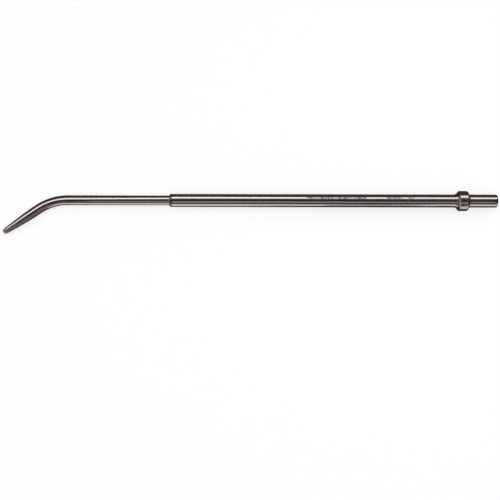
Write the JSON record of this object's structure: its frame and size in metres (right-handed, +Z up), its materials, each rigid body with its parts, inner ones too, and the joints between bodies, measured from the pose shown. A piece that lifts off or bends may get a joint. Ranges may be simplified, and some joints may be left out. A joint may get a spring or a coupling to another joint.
{
  "type": "oral surgery aspirator",
  "caption": "Slim polished steel suction tube with a bent, tapered nozzle, a wider straight handle tube and a stop collar ahead of its hose stub.",
  "frame": {"origin": "middle of the outline on the surface that the instrument lies on", "axes": "+X along the handle, towards its hose end; -X towards the nozzle, which bends towards -Y; +Z up from the surface"},
  "size_m": [0.242, 0.0214, 0.0098],
  "materials": {
    "tip_tube": "bright polished stainless steel",
    "handle_tube": "bright polished stainless steel",
    "stop_collar": "bright polished stainless steel"
  },
  "bodies": {
    "root": {"tip_tube": "tip_tube", "handle_tube": "handle_tube", "stop_collar": "stop_collar"}
  },
  "joints": []
}
